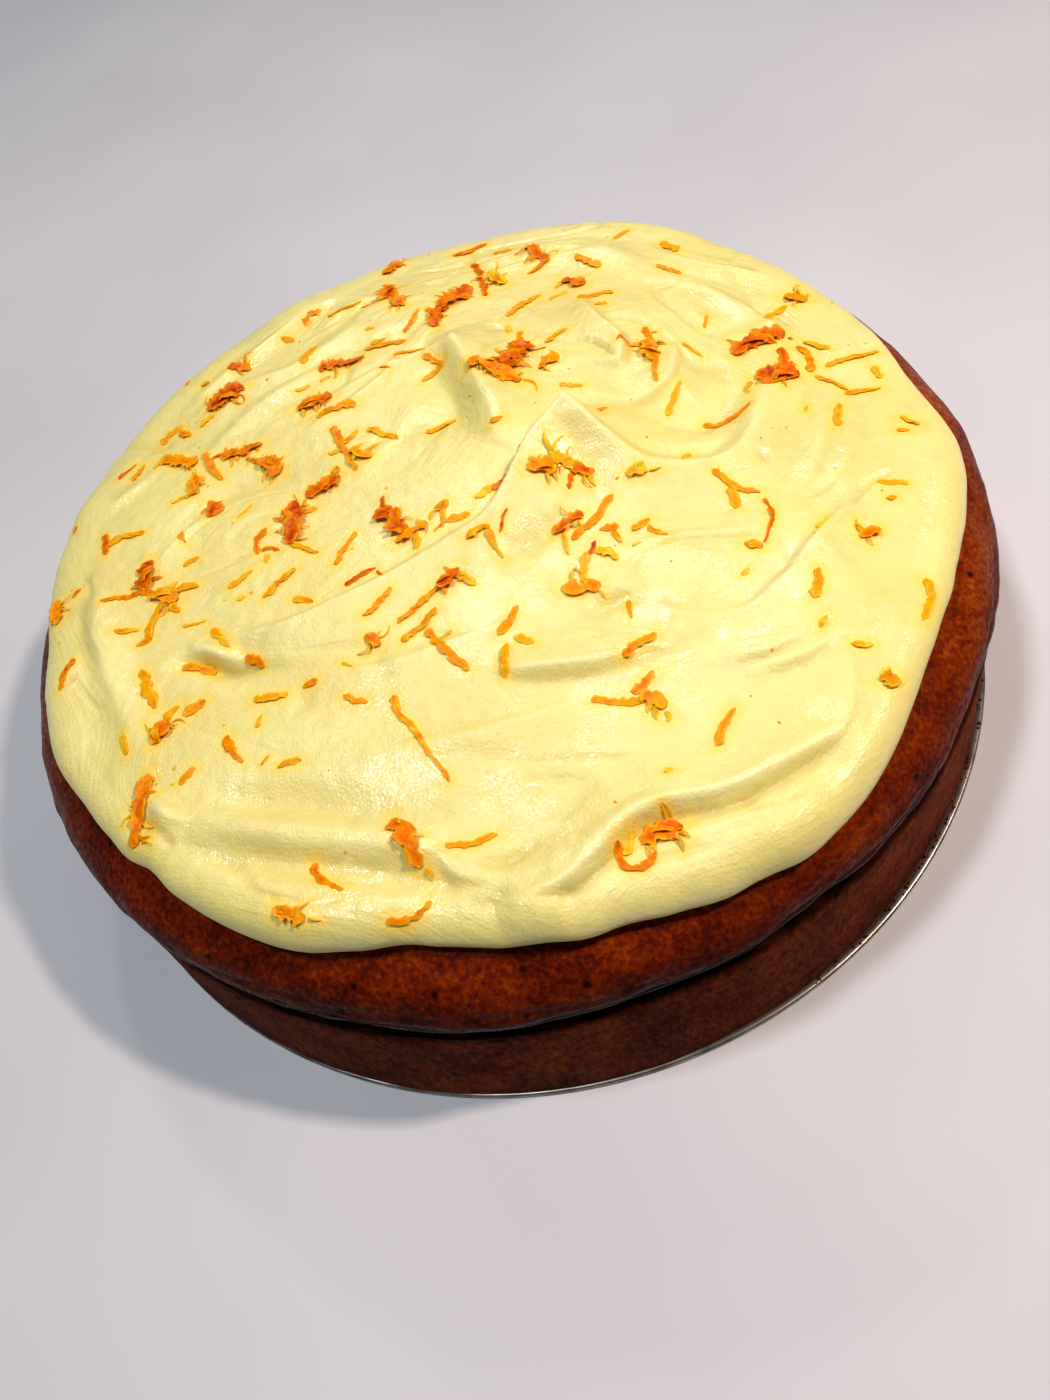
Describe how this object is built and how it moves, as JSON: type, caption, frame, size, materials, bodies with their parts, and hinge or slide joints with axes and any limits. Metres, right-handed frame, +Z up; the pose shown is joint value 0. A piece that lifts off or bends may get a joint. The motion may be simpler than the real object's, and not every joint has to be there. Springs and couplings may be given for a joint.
{
  "type": "poppy seed cake",
  "caption": "Round whole poppy seed cake on the loose metal base of its tin, spread thickly with swirled cream cheese frosting and scattered with orange zest.",
  "frame": {"origin": "centre of the underside of the tin base, on the surface that the cake stands on", "axes": "+Z up; -Y to the side that faces the viewer in the picture; +X to the right"},
  "size_m": [0.23, 0.23, 0.0718],
  "materials": {
    "tin": "satin",
    "crust": "satin",
    "frosting": "soft gloss"
  },
  "bodies": {
    "root": {"tin_base": "tin", "sponge": "crust", "frosting": "frosting"}
  },
  "joints": []
}
